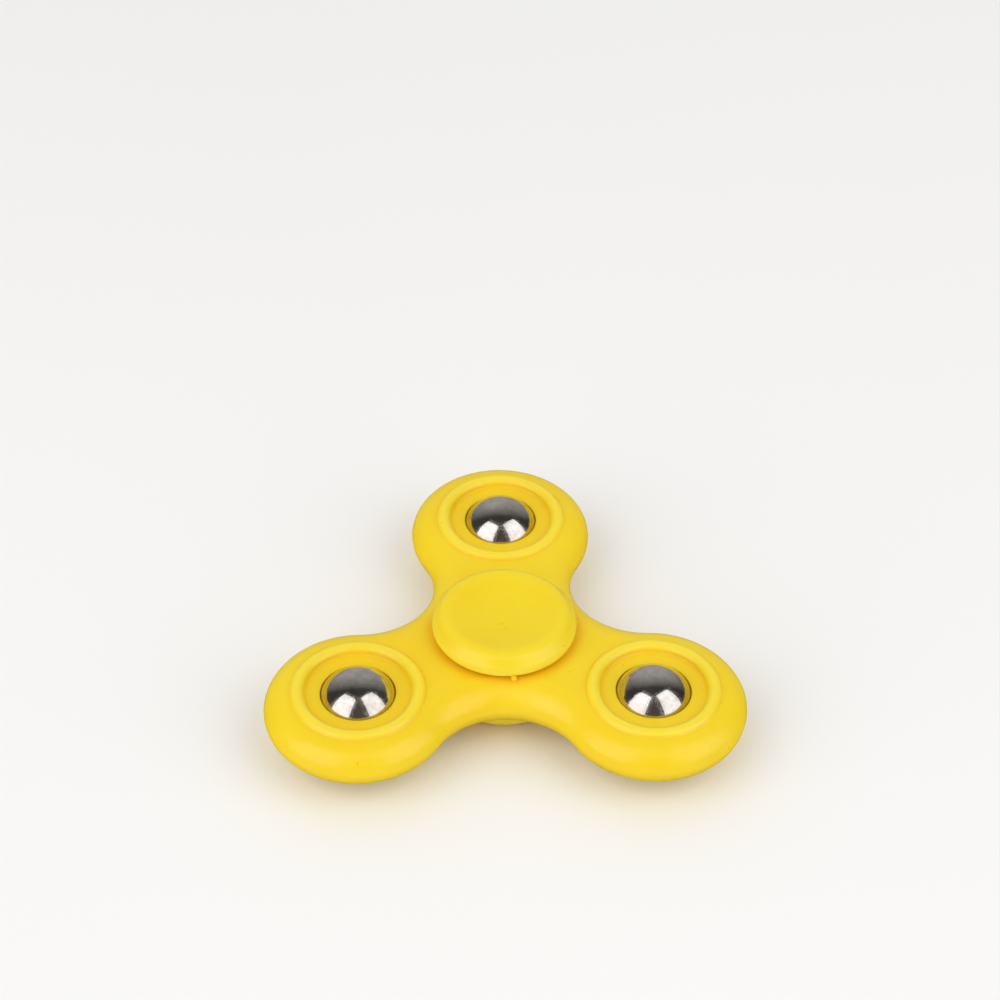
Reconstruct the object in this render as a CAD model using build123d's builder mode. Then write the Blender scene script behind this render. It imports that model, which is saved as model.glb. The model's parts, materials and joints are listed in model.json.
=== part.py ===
from build123d import *
import math
import os

# Three-lobed fidget spinner: two welded plastic shells turn on a 608 ball bearing, each
# lobe clamps a steel ball, and two finger caps are pressed together through the bearing.
#
# Frame: millimetres, +Z up along the spin axis. The origin is the centre of the bearing,
# in the seam plane between the shells. One lobe points along +Y.

os.makedirs("parts", exist_ok=True)

# Body form
arm_reach = 27.0  # spin axis to the centre of each lobe
lobe_radius = 15.0
flank_radius = 12.0  # concave flank between two lobes, centred as far out as the lobes
half_body = 4.0  # seam plane to the flat of a shell
nose_depth = 5.0  # how far in from the outline the edge starts to round over
wall = 1.6
skin = 1.4
lobe_count = 3
first_lobe = 90  # degrees from +X
first_flank = first_lobe - 180 / lobe_count

# Lobe details, each half measured from the seam plane
pocket_radius = 8.5
pocket_floor = 3.45
bead_outer = 10.8
bead_top = 4.7
bead_foot = 3.95  # where the bead meets the rounded edge of the lobe
bead_blend = 0.45
bead_apron = 1.0  # how far the bead's section runs on past each foot
apron_foot = 3.73  # just under the rounded edge of the lobe
window_radius = 6.0
window_round = 0.12
weight_radius = 6.75  # clamped between the windows of the two shells

# 608 bearing
bearing_bore = 8.0
bearing_diameter = 22.0
bearing_width = 7.0
ball_radius = 1.9845  # 5/32 inch ball
ball_count = 7
pitch_radius = 7.5
groove_radius = 2.06
race_clearance = 0.03
inner_land = 6.05
outer_land = 8.9
shield_seat = 9.8
shield_lip = 9.6
shield_level = 2.95
shield_gauge = 0.25
shield_step = 0.15
shield_bend = 0.3
shield_gap = 0.35  # to the inner ring
ring_chamfer = 0.3

# Ball cage, two pressed ribbons riveted between the balls
cage_gauge = 0.35
cage_inner = 6.75
cage_outer = 8.25
pocket_clearance = 0.09
rivet_radius = 0.3
rivet_head = 0.55

# Finger caps
cap_radius = 11.65
cap_under = 4.85
cap_shoulder = 6.2  # where the straight side ends and the bevel starts
cap_top = 8.0
crest_outer = 9.05
crest_inner = 8.75
crest_round = 2.1
dish_depth = 1.0
shoulder_round = 1.2
under_round = 0.3
coring_depth = 0.7
coring_radius = 9.5
boss_radius = 5.8
tube_bore = 2.5
spigot_end = 3.2
pin_relief = 0.5  # the pin stops short of the tube's closed end
pin_lead = 0.4

# Inside the shells
sleeve_wall = 1.8
lip_opening = 9.8
peg_radius = 1.3
peg_reach = 15.6
peg_length = 2.2
peg_slack = 0.05
socket_wall = 1.2
rib_thickness = 1.0
rib_root = 0.8  # how far a rib runs into the wall it meets
spar_offset = 5.0

bearing_half = bearing_width / 2
bearing_radius = bearing_diameter / 2
bore_radius = bearing_bore / 2
ceiling = half_body - skin
bead_crest = (pocket_radius + bead_outer) / 2
standing = (Align.CENTER, Align.CENTER, Align.MIN)
near = 0.01  # for picking edges by radius

# The window's edge touches the ball at one circle, under a seat tangent to the ball there
contact_height = math.sqrt(weight_radius**2 - window_radius**2)
seat_height = (weight_radius - window_radius) * window_radius / contact_height
seat_foot = contact_height - seat_height


def lobe_form(radius, height, nose):
    """A round boss on the seam plane whose top edge is a quarter ellipse."""
    with BuildPart() as form:
        with BuildSketch(Plane.XZ):
            with BuildLine():
                Polyline((radius, 0), (0, 0), (0, height), (radius - nose, height))
                EllipticalCenterArc((radius - nose, 0), nose, height, start_angle=0, arc_size=90)
            make_face()
        revolve(axis=Axis.Z)
    return form.part


def flank_cutter(radius, height, nose):
    """The round space outside a concave flank, with the same elliptical edge."""
    over = height + 1
    reach = radius + nose
    with BuildPart() as form:
        with BuildSketch(Plane.XZ):
            with BuildLine():
                Polyline((radius, 0), (0, 0), (0, over), (reach, over), (reach, height))
                EllipticalCenterArc((reach, 0), nose, height, start_angle=90, arc_size=90)
            make_face()
        revolve(axis=Axis.Z)
    return form.part


def trefoil_half(inset, height, nose):
    """The half of the body form above the seam plane, with its outline set in by inset."""
    lobe = lobe_form(lobe_radius - inset, height, nose)
    cutter = flank_cutter(flank_radius + inset, height, nose)
    with BuildPart() as form:
        with BuildSketch():
            RegularPolygon(radius=arm_reach, side_count=2 * lobe_count, rotation=first_flank)
        extrude(amount=height)
        with PolarLocations(arm_reach, lobe_count, start_angle=first_flank):
            add(cutter, mode=Mode.SUBTRACT)
        with PolarLocations(arm_reach, lobe_count, start_angle=first_lobe):
            add(lobe)
    return form.part


def bead_form():
    """The raised ring round a lobe's pocket, blended at its feet, with its root in the skin."""
    root = ceiling + skin / 3
    inner_foot = (pocket_radius, pocket_floor)
    outer_foot = (bead_outer, bead_foot)
    with BuildPart() as form:
        with BuildSketch(Plane.XZ) as section:
            with BuildLine():
                Line((pocket_radius - bead_apron, pocket_floor), inner_foot)
                ThreePointArc(inner_foot, (bead_crest, bead_top), outer_foot)
                Polyline(
                    outer_foot,
                    (bead_outer + bead_apron, apron_foot),
                    (bead_outer + bead_apron, root),
                    (pocket_radius - bead_apron, root),
                    (pocket_radius - bead_apron, pocket_floor),
                )
            make_face()
            feet = [v for v in section.vertices() if pocket_radius - near < v.X < bead_outer + near]
            fillet(feet, radius=bead_blend)
        revolve(axis=Axis.Z)
    return form.part


def stiffeners(outer):
    """Bearing sleeve, arm spars, ball cups and their ribs, trimmed to the outer form."""
    sleeve_radius = bearing_radius + sleeve_wall
    cup_radius = weight_radius + sleeve_wall
    spar_length = arm_reach - sleeve_radius - cup_radius + 2 * rib_root
    spar_centre = (arm_reach + sleeve_radius - cup_radius) / 2
    rib_length = lobe_radius - cup_radius + rib_root
    rib_centre = cup_radius + rib_length / 2 - rib_root
    with BuildPart() as inner:
        Cylinder(sleeve_radius, ceiling, align=standing)
        with PolarLocations(arm_reach, lobe_count, start_angle=first_lobe):
            Cylinder(cup_radius, ceiling, align=standing)
            with PolarLocations(rib_centre, 3, start_angle=-60, angular_range=180):
                Box(rib_length, rib_thickness, ceiling, align=standing)
        with PolarLocations(0, lobe_count, start_angle=first_lobe):
            with Locations((spar_centre, -spar_offset), (spar_centre, spar_offset)):
                Box(spar_length, rib_thickness, ceiling, align=standing)
        add(outer, mode=Mode.INTERSECT)
    return inner.part


def is_window_rim(edge):
    """True for the circles where the pocket floors meet the ball windows."""
    level = edge.center().Z
    return abs(edge.radius - window_radius) < near and abs(level - pocket_floor) < near


def shell_blank():
    """Everything the two shells have in common, as the upper shell."""
    outer = trefoil_half(0, half_body, nose_depth)
    hollow = trefoil_half(wall, ceiling, nose_depth - wall)
    inner = stiffeners(outer)
    bead = bead_form()
    with BuildPart() as blank:
        add(outer)
        add(hollow, mode=Mode.SUBTRACT)
        add(inner)
        # Pocket, bead and ball window of each lobe
        with PolarLocations(arm_reach, lobe_count, start_angle=first_lobe):
            with Locations((0, 0, pocket_floor)):
                Cylinder(bead_crest, half_body, align=standing, mode=Mode.SUBTRACT)
            add(bead)
            Cylinder(window_radius, half_body, align=standing, mode=Mode.SUBTRACT)
            Cylinder(weight_radius, seat_foot, align=standing, mode=Mode.SUBTRACT)
            with Locations((0, 0, seat_foot)):
                Cone(
                    weight_radius,
                    window_radius,
                    seat_height,
                    align=standing,
                    mode=Mode.SUBTRACT,
                )
        rims = [e for e in blank.edges().filter_by(GeomType.CIRCLE) if is_window_rim(e)]
        fillet(rims, radius=window_round)
        # Bearing housing under a thin lip
        Cylinder(bearing_radius, bearing_half, align=standing, mode=Mode.SUBTRACT)
        Cylinder(lip_opening, half_body, align=standing, mode=Mode.SUBTRACT)
    return blank.part


shell = shell_blank()
socket_depth = peg_length + 2 * peg_slack

with BuildPart() as upper_shell:
    add(shell)
    with PolarLocations(peg_reach, lobe_count, start_angle=first_lobe):
        Cylinder(peg_radius + socket_wall, ceiling, align=standing)
        with Locations((0, 0, -peg_length)):
            Cylinder(peg_radius, ceiling + peg_length, align=standing)
upper_shell.part.label = "upper_shell"
export_step(upper_shell.part, "parts/upper_shell.step")

with BuildPart() as lower_shell:
    add(shell.mirror(Plane.XY))
    with PolarLocations(peg_reach, lobe_count, start_angle=first_lobe):
        with Locations((0, 0, -ceiling)):
            Cylinder(peg_radius + socket_wall, ceiling, align=standing)
        with Locations((0, 0, -socket_depth)):
            Cylinder(peg_radius + peg_slack, socket_depth, align=standing, mode=Mode.SUBTRACT)
lower_shell.part.label = "lower_shell"
export_step(lower_shell.part, "parts/lower_shell.step")

for number in range(1, lobe_count + 1):
    angle = math.radians(first_lobe + 360 / lobe_count * (number - 1))
    with BuildPart() as weight_ball:
        with Locations((arm_reach * math.cos(angle), arm_reach * math.sin(angle))):
            Sphere(weight_radius)
    weight_ball.part.label = f"weight_ball_{number}"
    export_step(weight_ball.part, f"parts/weight_ball_{number}.step")

# Bearing rings: a ball groove in each, and shield seats in the outer one
outer_groove_centre = pitch_radius + ball_radius + race_clearance - groove_radius
inner_groove_centre = pitch_radius - ball_radius - race_clearance + groove_radius

with BuildPart() as bearing_outer_ring:
    Cylinder(bearing_radius, bearing_width)
    Cylinder(outer_land, bearing_width, mode=Mode.SUBTRACT)
    for side in (1, -1):
        with Locations((0, 0, side * (shield_level + shield_gauge / 2))):
            Cylinder(shield_seat, shield_gauge, mode=Mode.SUBTRACT)
        with Locations((0, 0, side * (shield_level + shield_gauge + bearing_half) / 2)):
            Cylinder(shield_lip, bearing_half - shield_level - shield_gauge, mode=Mode.SUBTRACT)
    Torus(outer_groove_centre, groove_radius, mode=Mode.SUBTRACT)
    rim = bearing_outer_ring.edges().filter_by(GeomType.CIRCLE)
    chamfer([e for e in rim if e.radius > bearing_radius - near], length=ring_chamfer)
bearing_outer_ring.part.label = "bearing_outer_ring"
export_step(bearing_outer_ring.part, "parts/bearing_outer_ring.step")

with BuildPart() as bearing_inner_ring:
    Cylinder(inner_land, bearing_width)
    Torus(inner_groove_centre, groove_radius, mode=Mode.SUBTRACT)
    Cylinder(bore_radius, bearing_width, mode=Mode.SUBTRACT)
    rim = bearing_inner_ring.edges().filter_by(GeomType.CIRCLE)
    chamfer([e for e in rim if e.radius < bore_radius + near], length=ring_chamfer)
bearing_inner_ring.part.label = "bearing_inner_ring"
export_step(bearing_inner_ring.part, "parts/bearing_inner_ring.step")

for number in range(1, ball_count + 1):
    angle = math.radians(first_lobe + 360 / ball_count * (number - 1))
    with BuildPart() as bearing_ball:
        with Locations((pitch_radius * math.cos(angle), pitch_radius * math.sin(angle))):
            Sphere(ball_radius)
    bearing_ball.part.label = f"bearing_ball_{number}"
    export_step(bearing_ball.part, f"parts/bearing_ball_{number}.step")


def cage_ribbon():
    """The upper ribbon: flat between the balls and domed over each one."""
    dome_radius = ball_radius + pocket_clearance + cage_gauge
    with BuildPart() as ribbon:
        Cylinder(cage_outer, cage_gauge, align=standing)
        with PolarLocations(pitch_radius, ball_count, start_angle=first_lobe):
            Sphere(dome_radius)
        with BuildSketch():
            Circle(cage_outer)
            Circle(cage_inner, mode=Mode.SUBTRACT)
        extrude(amount=bearing_half, mode=Mode.INTERSECT)
        with PolarLocations(pitch_radius, ball_count, start_angle=first_lobe):
            Sphere(ball_radius + pocket_clearance, mode=Mode.SUBTRACT)
        with PolarLocations(pitch_radius, ball_count, start_angle=first_lobe + 180 / ball_count):
            Cylinder(rivet_radius, bearing_half, align=standing, mode=Mode.SUBTRACT)
    return ribbon.part


ribbon = cage_ribbon()

with BuildPart() as cage_upper_half:
    add(ribbon)
cage_upper_half.part.label = "cage_upper_half"
export_step(cage_upper_half.part, "parts/cage_upper_half.step")

with BuildPart() as cage_lower_half:
    add(ribbon.mirror(Plane.XY))
cage_lower_half.part.label = "cage_lower_half"
export_step(cage_lower_half.part, "parts/cage_lower_half.step")

head_height = rivet_head / 2
with BuildPart() as cage_rivets:
    with PolarLocations(pitch_radius, ball_count, start_angle=first_lobe + 180 / ball_count):
        Cylinder(rivet_radius, 2 * cage_gauge)
        with Locations((0, 0, cage_gauge)):
            Cylinder(rivet_head, head_height, align=standing)
        with Locations((0, 0, -cage_gauge - head_height)):
            Cylinder(rivet_head, head_height, align=standing)
cage_rivets.part.label = "cage_rivets"
export_step(cage_rivets.part, "parts/cage_rivets.step")


def shield_form():
    """The upper shield: a seated rim, a short step and a flat web towards the inner ring."""
    rim = shield_level + shield_gauge
    web = rim + shield_step
    web_outer = outer_land - shield_bend
    web_inner = inner_land + shield_gap
    with BuildPart() as form:
        with BuildSketch(Plane.XZ):
            with BuildLine():
                Polyline(
                    (shield_seat, shield_level),
                    (shield_seat, rim),
                    (outer_land, rim),
                    (web_outer, web),
                    (web_inner, web),
                    (web_inner, web - shield_gauge),
                    (web_outer, web - shield_gauge),
                    (outer_land, shield_level),
                    close=True,
                )
            make_face()
        revolve(axis=Axis.Z)
    return form.part


shield = shield_form()

with BuildPart() as shield_upper:
    add(shield)
shield_upper.part.label = "shield_upper"
export_step(shield_upper.part, "parts/shield_upper.step")

with BuildPart() as shield_lower:
    add(shield.mirror(Plane.XY))
shield_lower.part.label = "shield_lower"
export_step(shield_lower.part, "parts/shield_lower.step")


def is_side_circle(edge):
    """True for the circles that bound the cap's straight side."""
    return edge.geom_type == GeomType.CIRCLE and abs(edge.radius - cap_radius) < near


def cap_form():
    """An upper finger cap without its spigot: bevelled disc, dished top, boss and coring."""
    # The bevel is the tangent from the shoulder to the crest's outer round
    crest_level = cap_top - crest_round
    run = cap_radius - crest_outer
    rise = cap_shoulder - crest_level
    normal = math.atan2(rise, run) + math.acos(crest_round / math.hypot(run, rise))
    bevel_start = (
        crest_outer + crest_round * math.cos(normal),
        crest_level + crest_round * math.sin(normal),
    )
    # The dish is tangent to the crest's inner round
    dish_round = (crest_inner**2 + dish_depth**2) / (2 * dish_depth) - crest_round
    share = crest_round / (crest_round + dish_round)
    dish_level = cap_top - dish_depth
    dish_start = (
        crest_inner * (1 - share),
        crest_level + share * (dish_level + dish_round - crest_level),
    )
    with BuildPart() as form:
        with BuildSketch(Plane.XZ):
            with BuildLine():
                Polyline(
                    (0, dish_level),
                    (0, bearing_half),
                    (boss_radius, bearing_half),
                    (boss_radius, cap_under),
                    (cap_radius, cap_under),
                    (cap_radius, cap_shoulder),
                    bevel_start,
                )
                RadiusArc(bevel_start, (crest_outer, cap_top), -crest_round)
                Line((crest_outer, cap_top), (crest_inner, cap_top))
                RadiusArc((crest_inner, cap_top), dish_start, -crest_round)
                RadiusArc(dish_start, (0, dish_level), dish_round)
            make_face()
        revolve(axis=Axis.Z)
        sides = form.edges().filter_by(is_side_circle).sort_by(Axis.Z)
        fillet(sides[-1], radius=shoulder_round)
        sides = form.edges().filter_by(is_side_circle).sort_by(Axis.Z)
        fillet(sides[0], radius=under_round)
        # Coring under the disc keeps the moulding an even thickness
        with BuildSketch(Plane.XY.offset(cap_under)):
            Circle(coring_radius)
            Circle(boss_radius + wall, mode=Mode.SUBTRACT)
        extrude(amount=coring_depth, mode=Mode.SUBTRACT)
    return form.part


cap = cap_form()

with BuildPart() as upper_cap:
    add(cap)
    with Locations((0, 0, pin_relief - bearing_half)):
        Cylinder(tube_bore, bearing_width - pin_relief, align=standing)
    tip = upper_cap.edges().filter_by(GeomType.CIRCLE).sort_by(Axis.Z)[0]
    chamfer(tip, length=pin_lead)
upper_cap.part.label = "upper_cap"
export_step(upper_cap.part, "parts/upper_cap.step")

with BuildPart() as lower_cap:
    add(cap.mirror(Plane.XY))
    with Locations((0, 0, -bearing_half)):
        Cylinder(bore_radius, bearing_half + spigot_end, align=standing)
        Cylinder(tube_bore, bearing_half + spigot_end, align=standing, mode=Mode.SUBTRACT)
lower_cap.part.label = "lower_cap"
export_step(lower_cap.part, "parts/lower_cap.step")
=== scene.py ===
import json
import math

import bpy
from mathutils import Euler, Matrix, Vector, noise


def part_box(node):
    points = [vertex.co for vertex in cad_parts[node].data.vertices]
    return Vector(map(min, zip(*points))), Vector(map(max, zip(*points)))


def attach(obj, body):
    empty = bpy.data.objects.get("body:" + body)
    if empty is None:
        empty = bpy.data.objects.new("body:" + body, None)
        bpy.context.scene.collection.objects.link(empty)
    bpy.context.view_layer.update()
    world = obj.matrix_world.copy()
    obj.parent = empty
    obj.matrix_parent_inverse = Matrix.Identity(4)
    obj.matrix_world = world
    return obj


# A yellow moulded fidget spinner that stands on its lower cap. The CAD parts carry all of
# the shape. This script adds their materials and the small marks of moulding: the weld
# flash round the seam and the caps' gate stubs.

MM = 0.001

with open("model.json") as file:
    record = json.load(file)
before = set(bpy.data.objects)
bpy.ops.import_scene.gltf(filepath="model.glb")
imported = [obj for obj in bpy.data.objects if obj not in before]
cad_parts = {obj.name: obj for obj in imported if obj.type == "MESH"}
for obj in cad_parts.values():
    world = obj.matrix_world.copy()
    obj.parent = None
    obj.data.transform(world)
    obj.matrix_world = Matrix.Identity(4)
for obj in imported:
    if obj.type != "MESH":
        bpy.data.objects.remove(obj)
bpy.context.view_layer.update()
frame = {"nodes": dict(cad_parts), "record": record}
nodes = frame["nodes"]

# Sizes that the marks follow, from the frame
LOBE_COUNT = 3
ball_low, ball_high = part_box("weight_ball_1")
arm_reach = ((ball_low + ball_high) / 2).length
body_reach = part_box("upper_shell")[1].y
lobe_radius = body_reach - arm_reach
flank_radius = arm_reach - lobe_radius
floor_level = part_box("lower_cap")[0].z


# ---------------------------------------------------------------- node helpers


class Graph:
    """A material's node tree, with short ways to add the nodes that the materials share."""

    def __init__(self, name):
        self.material = bpy.data.materials.new(name)
        self.material.use_nodes = True
        self.tree = self.material.node_tree
        self.shader = self.tree.nodes["Principled BSDF"]
        self.place = self.tree.nodes.new("ShaderNodeTexCoord").outputs["Object"]

    def add(self, kind, **settings):
        """A new node with its properties set."""
        node = self.tree.nodes.new(kind)
        for key, value in settings.items():
            setattr(node, key, value)
        return node

    def link(self, source, target):
        self.tree.links.new(source, target)

    def noise(self, scale, detail=3.0, roughness=0.5, stretch=(1, 1, 1)):
        """Noise from 0 to 1 at a number of features per metre, optionally stretched."""
        mapping = self.add("ShaderNodeMapping")
        mapping.inputs["Scale"].default_value = stretch
        self.link(self.place, mapping.inputs["Vector"])
        node = self.add("ShaderNodeTexNoise")
        node.inputs["Scale"].default_value = scale
        node.inputs["Detail"].default_value = detail
        node.inputs["Roughness"].default_value = roughness
        self.link(mapping.outputs["Vector"], node.inputs["Vector"])
        return node.outputs["Fac"]

    def cells(self, scale):
        """Distance to the nearest point of a random scatter."""
        node = self.add("ShaderNodeTexVoronoi")
        node.inputs["Scale"].default_value = scale
        self.link(self.place, node.inputs["Vector"])
        return node.outputs["Distance"]

    def crease(self, distance):
        """How enclosed the surface is by what lies within a distance: 0 open, 1 in a crease."""
        node = self.add("ShaderNodeAmbientOcclusion", samples=8)
        node.inputs["Distance"].default_value = distance
        return self.span(node.outputs["AO"], 0.0, 1.0, 0.98, 0.72)

    def ridge(self, distance):
        """How far the raised surfaces bulge: 0 where they are flat, 1 on an edge."""
        node = self.add("ShaderNodeAmbientOcclusion", samples=6, inside=True)
        node.inputs["Distance"].default_value = distance
        bulge = self.span(node.outputs["AO"], 0.0, 1.0, 0.97, 0.72)
        raised = self.span(self.height(), 0.0, 1.0, 3.7 * MM, 4.3 * MM)
        return self.maths("MULTIPLY", bulge, raised)

    def height(self):
        """Distance from the seam plane in metres, the same above and below it."""
        node = self.add("ShaderNodeSeparateXYZ")
        self.link(self.place, node.inputs["Vector"])
        return self.maths("ABSOLUTE", node.outputs["Z"], 0.0)

    def ramp(self, source, stops):
        """A colour ramp with (position, grey or colour) stops."""
        node = self.add("ShaderNodeValToRGB")
        line = node.color_ramp
        while len(line.elements) < len(stops):
            line.elements.new(0.5)
        for element, (position, value) in zip(line.elements, stops):
            colour = value if isinstance(value, tuple) else (value,) * 3
            element.position = position
            element.color = (*colour, 1)
        self.link(source, node.inputs["Fac"])
        return node.outputs["Color"]

    def span(self, source, low, high, source_low=0.0, source_high=1.0):
        """source stretched to run from low to high."""
        node = self.add("ShaderNodeMapRange")
        node.inputs["From Min"].default_value = source_low
        node.inputs["From Max"].default_value = source_high
        node.inputs["To Min"].default_value = low
        node.inputs["To Max"].default_value = high
        self.link(source, node.inputs["Value"])
        return node.outputs["Result"]

    def maths(self, operation, first, second):
        """A maths node of two inputs, where either may be a number."""
        node = self.add("ShaderNodeMath", operation=operation)
        for socket, value in zip(node.inputs, (first, second)):
            if isinstance(value, (int, float)):
                socket.default_value = value
            else:
                self.link(value, socket)
        return node.outputs["Value"]

    def mix(self, share, first, second, blend_type="MIX"):
        """first turned into second by share, where a colour may be given in place of a link."""
        node = self.add("ShaderNodeMix", data_type="RGBA", blend_type=blend_type)
        sockets = [s for s in node.inputs if s.enabled]
        for socket, value in zip(sockets, (share, first, second)):
            if isinstance(value, tuple):
                socket.default_value = (*value, 1)
            elif isinstance(value, (int, float)):
                socket.default_value = value
            else:
                self.link(value, socket)
        return [s for s in node.outputs if s.enabled][0]

    def bump(self, height, distance, strength=1.0, below=None):
        """A bump of that height in metres, on top of another bump if one is given."""
        node = self.add("ShaderNodeBump")
        node.inputs["Strength"].default_value = strength
        node.inputs["Distance"].default_value = distance
        self.link(height, node.inputs["Height"])
        if below is not None:
            self.link(below, node.inputs["Normal"])
        return node.outputs["Normal"]

    def set(self, **values):
        """Constant values on the shader's own sockets."""
        for name, value in values.items():
            self.shader.inputs[name.replace("_", " ")].default_value = value

    def drive(self, name, source):
        """A linked value on the shader."""
        self.link(source, self.shader.inputs[name])


# ---------------------------------------------------------------- materials


# Colours painted on the plastic: orange painted shade where it is enclosed, and a pale yellow
# painted highlight on its raised edges
PAINTED_CREASE_SHADE = (1.0, 0.61, 0.0)
PAINTED_RIDGE_HIGHLIGHT = (1.0, 0.83, 0.1)


def moulded_plastic(name, base, seed):
    """Satin ABS: faint clouding, orange painted shade in creases, pale painted highlight on ridges,
    grain and specks.
    """
    g = Graph(name)
    red, green, blue = base
    deep = (red * 0.985, green * 0.96, blue)
    pale = (red, green * 1.02, blue * 2)
    colour = g.ramp(g.noise(60 + seed, detail=2.0), [(0.35, deep), (0.65, pale)])
    crease = g.crease(2.0 * MM)
    # Painted highlight: raised edges are turned pale yellow
    colour = g.mix(g.ridge(1.4 * MM), colour, PAINTED_RIDGE_HIGHLIGHT)
    # Painted shade: enclosed places and creases are turned orange
    colour = g.mix(crease, colour, PAINTED_CREASE_SHADE)
    # Dark grit pressed into the surface, and paler spots of dust on it
    for scale, gate, tint, share in (
        (430, 0.5, (0.33, 0.21, 0.04), 0.55),
        (510, 0.6, (0.9, 0.82, 0.5), 0.5),
    ):
        speck = g.ramp(g.cells(scale + seed), [(0.03, 1.0), (0.065, 0.0)])
        patches = g.noise(scale / 2.6 + seed, detail=0.0)
        chosen = g.ramp(patches, [(gate, 0.0), (gate + 0.04, 1.0)])
        strength = g.maths("MULTIPLY", g.maths("MULTIPLY", speck, chosen), share)
        colour = g.mix(strength, colour, tint)
    g.drive("Base Color", colour)
    # Satin sheen with slightly glossier rubbed places
    rubs = g.noise(180, detail=4.0, roughness=0.6)
    sheen = g.span(rubs, 0.27, 0.38, 0.3, 0.7)
    g.drive("Roughness", g.maths("ADD", sheen, g.maths("MULTIPLY", crease, 0.3)))
    grain = g.bump(g.noise(5200, detail=2.0), 0.004 * MM)
    waves = g.bump(g.noise(140, detail=1.0), 0.05 * MM, below=grain)
    g.drive("Normal", waves)
    g.drive("Subsurface Weight", g.span(g.height(), 0.0, 0.65, 0.3 * MM, 1.6 * MM))
    g.set(IOR=1.49, Subsurface_Scale=0.7 * MM)
    g.shader.inputs["Subsurface Radius"].default_value = (1.0, 0.95, 0.25)
    return g.material


def polished_steel(name, base, roughness, scratch_depth):
    """A polished ball: mirror finish with smudges, hairline scratches and pits."""
    g = Graph(name)
    smudge = g.noise(260, detail=5.0, roughness=0.65)
    film = g.noise(900, detail=3.0)
    smudged = g.span(smudge, 0.72, 1.1, 0.3, 0.7)
    filmed = g.span(film, 0.92, 1.04, 0.3, 0.7)
    colour = g.mix(1.0, base, g.maths("MULTIPLY", smudged, filmed), "MULTIPLY")
    g.drive("Roughness", g.span(g.noise(420, detail=4.0), roughness, roughness * 2.2, 0.4, 0.75))
    normal = None
    for turn, stretch in enumerate(((14, 1, 1), (1, 12, 2), (2, 3, 16))):
        hair = g.noise(420 + 60 * turn, detail=1.5, stretch=stretch)
        line = g.ramp(hair, [(0.49, 0.0), (0.5, 1.0), (0.51, 0.0)])
        normal = g.bump(line, scratch_depth, below=normal)
    pits = g.ramp(g.cells(620), [(0.05, 0.0), (0.12, 1.0)])
    g.drive("Normal", g.bump(pits, scratch_depth * 2, below=normal))
    g.drive("Base Color", colour)
    g.set(Metallic=1.0)
    return g, colour


def weight_ball_steel():
    """Polished steel with a brown film where the ball rubs in its window."""
    g, colour = polished_steel("weight_ball_steel", (0.7, 0.68, 0.66), 0.03, 0.0015 * MM)
    near_window = g.span(g.height(), 1.0, 0.0, 3.6 * MM, 6.1 * MM)
    patches = g.ramp(g.noise(800, detail=4.0, roughness=0.7), [(0.4, 0.0), (0.6, 1.0)])
    film = g.maths("MULTIPLY", g.maths("MULTIPLY", near_window, patches), 0.55)
    g.drive("Base Color", g.mix(film, colour, (0.55, 0.4, 0.3)))
    return g.material


def ground_steel(name, base, roughness):
    """Turned and ground rings: fine circular lines with a soft metal sheen."""
    g = Graph(name)
    lines = g.noise(900, detail=3.0, stretch=(1, 1, 9))
    g.drive("Base Color", g.ramp(lines, [(0.3, tuple(c * 0.85 for c in base)), (0.7, base)]))
    g.drive("Roughness", g.span(lines, roughness, roughness + 0.14))
    g.drive("Normal", g.bump(lines, 0.006 * MM))
    g.set(Metallic=1.0)
    return g.material


shell_plastic = moulded_plastic("shell_abs", (0.97, 0.69, 0.008), seed=0)
cap_plastic = moulded_plastic("cap_abs", (0.965, 0.71, 0.008), seed=7)
weight_steel = weight_ball_steel()
rolling_steel = polished_steel("bearing_ball_steel", (0.6, 0.6, 0.6), 0.03, 0.0005 * MM)[0].material
ring_steel = ground_steel("ring_steel", (0.6, 0.6, 0.61), 0.2)
pressed_steel = ground_steel("pressed_steel", (0.52, 0.52, 0.53), 0.3)

FINISHES = {
    "shell_plastic": shell_plastic,
    "cap_plastic": cap_plastic,
    "weight_steel": weight_steel,
    "bearing_ball_steel": rolling_steel,
    "ring_steel": ring_steel,
    "pressed_steel": pressed_steel,
}
for part in frame["record"]["subparts"]:
    mesh = nodes[part["node"]].data
    mesh.materials.clear()
    mesh.materials.append(FINISHES[part["material_slot"]])


# ---------------------------------------------------------------- moulding marks


def lobe_outline(count):
    """Points and outward normals round the body's outline in the seam plane."""
    points = []
    for lobe in range(LOBE_COUNT):
        heading = math.radians(90 + 120 * lobe)
        centre = Vector((math.cos(heading), math.sin(heading))) * arm_reach
        steps = round(count * 0.7)
        for i in range(steps):
            a = heading - math.radians(120) + math.radians(240) * i / steps
            normal = Vector((math.cos(a), math.sin(a)))
            points.append((centre + normal * lobe_radius, normal))
        heading += math.radians(60)
        centre = Vector((math.cos(heading), math.sin(heading))) * arm_reach
        steps = round(count * 0.3)
        for i in range(steps):
            a = heading + math.radians(240) - math.radians(120) * i / steps
            normal = Vector((math.cos(a), math.sin(a)))
            points.append((centre + normal * flank_radius, -normal))
    return points


def moulding_mark(name, verts, faces, body, slot):
    """A piece made of these points and faces, in the finish of a material slot."""
    mesh = bpy.data.meshes.new(name)
    mesh.from_pydata(verts, [], faces)
    mesh.materials.append(FINISHES[slot])
    mesh.update()
    piece = bpy.data.objects.new(name, mesh)
    bpy.context.scene.collection.objects.link(piece)
    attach(piece, body)
    return piece


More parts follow.
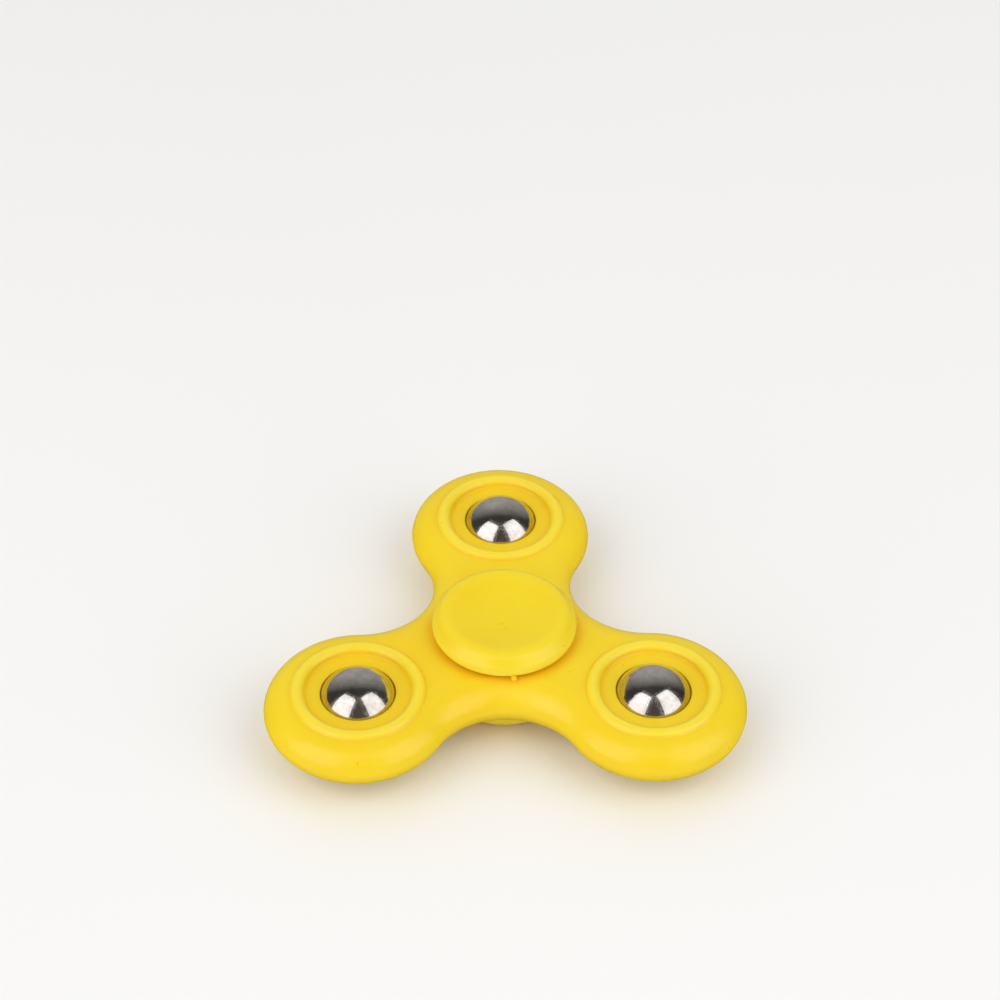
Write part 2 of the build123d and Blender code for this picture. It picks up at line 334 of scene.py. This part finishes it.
def weld_flash():
    """The thin line of plastic pressed out of the seam all the way round the body."""
    path = lobe_outline(360)
    root = -0.05 * MM
    verts = []
    for point, normal in path:
        spot = point.to_3d() / (4 * MM)
        swell = 0.5 + 0.5 * noise.noise(spot)
        fine = noise.noise(spot * 7)
        out = (0.006 + 0.016 * swell + 0.005 * fine) * MM
        high = (0.03 + 0.03 * swell) * MM
        for proud, up in ((root, high), (out, high / 2), (out, -high / 2), (root, -high)):
            verts.append((*(point + normal * proud), up))
    corners = 4
    faces = []
    for i in range(len(path)):
        here, there = i * corners, (i + 1) % len(path) * corners
        for k in range(corners):
            m = (k + 1) % corners
            faces.append((here + k, there + k, there + m, here + m))
    moulding_mark("weld_flash", verts, faces, "rotor", "shell_plastic").data.shade_smooth()


def gate_stub(name, side, cap, bearing):
    """The stub left on a cap's edge where its moulding was cut from the runner.

    side is 1 for the upper cap and -1 for the lower, and bearing is the stub's heading.
    """
    low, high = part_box(cap)
    cap_radius = high.x
    outer_level = low.z if side < 0 else high.z
    level = side * (abs(outer_level) - 3.15 * MM)
    half_width, thickness, reach = 0.42 * MM, 0.34 * MM, 0.62 * MM
    root = 0.3 * MM
    out = Vector((math.cos(bearing), math.sin(bearing), 0))
    across = Vector((-math.sin(bearing), math.cos(bearing), 0))
    rows, columns = 6, 5
    verts = []
    for face in (0, 1):
        for i in range(rows):
            for j in range(columns):
                u = i / (rows - 1)
                w = 2 * j / (columns - 1) - 1
                ragged = 0.08 * MM * noise.noise(Vector((3.1 * w, 2.0 * u, 5.0 * face)))
                narrow = 1 - 0.12 * u
                place = out * (cap_radius - root + (reach + root) * u + ragged * (u > 0.9))
                place += across * (half_width * w * narrow)
                place.z = level - side * thickness * face * (1 - 0.25 * u) + ragged * 0.4
                verts.append(place)
    total = rows * columns
    faces = []
    for i in range(rows - 1):
        for j in range(columns - 1):
            a = i * columns + j
            faces.append((a, a + 1, a + 1 + columns, a + columns))
            b = a + total
            faces.append((b + columns, b + 1 + columns, b + 1, b))
    ring = list(range(columns)) + [i * columns + columns - 1 for i in range(1, rows)]
    ring += [(rows - 1) * columns + j for j in range(columns - 2, -1, -1)]
    ring += [i * columns for i in range(rows - 2, 0, -1)]
    for a, b in zip(ring, ring[1:] + ring[:1]):
        faces.append((b, a, a + total, b + total))
    piece = moulding_mark(name, verts, faces, "hub", "cap_plastic")
    soften = piece.modifiers.new("soften", "BEVEL")
    soften.width = 0.06 * MM
    soften.segments = 2


gate_stub("upper_gate_stub", 1, "upper_cap", math.radians(-83.8))
gate_stub("lower_gate_stub", -1, "lower_cap", math.radians(75))
weld_flash()


# ---------------------------------------------------------------- stage


def pale_floor(size, level):
    """A flat pale floor."""
    mesh = bpy.data.meshes.new("floor")
    signs = ((-1, -1), (1, -1), (1, 1), (-1, 1))
    mesh.from_pydata([(x * size, y * size, level) for x, y in signs], [], [(0, 1, 2, 3)])
    floor = bpy.data.objects.new("floor", mesh)
    bpy.context.scene.collection.objects.link(floor)
    g = Graph("floor")
    g.drive("Base Color", g.ramp(g.noise(3.0), [(0.3, 0.9), (0.7, 0.92)]))
    g.set(Roughness=0.6)
    mesh.materials.append(g.material)
    floor.visible_glossy = False


pale_floor(3.0, floor_level)


def softbox(name, top_outer, top_inner, down, drop, radiance):
    """An upright rectangular light hung from two top corners, facing the object."""
    outer, inner, down = Vector(top_outer), Vector(top_inner), Vector(down).normalized()
    across = (inner - outer).normalized()
    if across.cross(-down).dot(outer) < 0:
        across = -across
    data = bpy.data.lights.new(name, "AREA")
    data.shape = "RECTANGLE"
    data.size = (inner - outer).length
    data.size_y = drop
    data.energy = radiance * math.pi * data.size * drop
    light = bpy.data.objects.new(name, data)
    turn = Matrix((across, -down, across.cross(-down))).transposed()
    light.matrix_world = Matrix.Translation((outer + inner + down * drop) / 2) @ turn.to_4x4()
    bpy.context.scene.collection.objects.link(light)


LEFT_LIGHT = 1.6
RIGHT_LIGHT = 1.48
BOX_DROP = 1.44
softbox(
    "softbox_left", (-0.98, -0.03, 1.51), (-0.16, -0.61, 1.45), (-0.18, -0.15, -0.97),
    BOX_DROP, LEFT_LIGHT,
)
softbox(
    "softbox_right", (0.99, 0.15, 1.49), (0.19, -0.48, 1.46), (0.2, -0.21, -0.96),
    BOX_DROP, RIGHT_LIGHT,
)


def studio_world():
    """A dim room for mirrors to see, and the even light of a tent, brighter at the back."""
    world = bpy.data.worlds.new("studio")
    world.use_nodes = True
    tree = world.node_tree
    place = tree.nodes.new("ShaderNodeTexCoord")

    def gradient(towards, stops):
        """Colours along the cosine to a direction, from -1 to 1."""
        facing = tree.nodes.new("ShaderNodeVectorMath")
        facing.operation = "DOT_PRODUCT"
        facing.inputs[1].default_value = Vector(towards).normalized()
        tree.links.new(place.outputs["Generated"], facing.inputs[0])
        spread = tree.nodes.new("ShaderNodeMapRange")
        spread.inputs["From Min"].default_value = -1
        tree.links.new(facing.outputs["Value"], spread.inputs["Value"])
        ramp = tree.nodes.new("ShaderNodeValToRGB")
        while len(ramp.color_ramp.elements) < len(stops):
            ramp.color_ramp.elements.new(0.5)
        for element, (cosine, colour) in zip(ramp.color_ramp.elements, stops):
            element.position = (cosine + 1) / 2
            element.color = (*colour, 1)
        tree.links.new(spread.outputs["Result"], ramp.inputs["Fac"])
        return ramp.outputs["Color"]

    dark = (0.058, 0.054, 0.05)
    front = (0.108, 0.093, 0.083)
    back = (0.43, 0.41, 0.385)
    room = gradient((0, 0.94, 0.34), [(0, front), (0.2, dark), (0.45, dark), (0.95, back)])
    tent = gradient((-0.25, 0.8, 0.55), [(-1, (0.1, 0.1, 0.1)), (1, (0.86, 0.85, 0.835))])
    path = tree.nodes.new("ShaderNodeLightPath")
    choice = tree.nodes.new("ShaderNodeMix")
    choice.data_type = "RGBA"
    share, mirrored, diffuse = [s for s in choice.inputs if s.enabled]
    tree.links.new(path.outputs["Is Diffuse Ray"], share)
    tree.links.new(room, mirrored)
    tree.links.new(tent, diffuse)
    colour = [s for s in choice.outputs if s.enabled][0]
    tree.links.new(colour, tree.nodes["Background"].inputs["Color"])
    return world


bpy.context.scene.world = studio_world()
bpy.context.scene.view_settings.view_transform = "Standard"


# ---------------------------------------------------------------- camera


camera_data = bpy.data.cameras.new("camera")
camera_data.lens = 91.8
camera_data.sensor_width = 36
camera = bpy.data.objects.new("camera", camera_data)
camera.location = Vector((-10.6, -294.07, 293.98)) * MM
looks_down = math.radians(41.687)
heading = math.radians(-1.87)
roll = math.radians(0.92)
tilt = Euler((math.radians(90) - looks_down, 0, heading)).to_matrix()
camera.rotation_euler = (tilt @ Euler((0, 0, roll)).to_matrix()).to_euler()
bpy.context.scene.collection.objects.link(camera)
bpy.context.scene.camera = camera
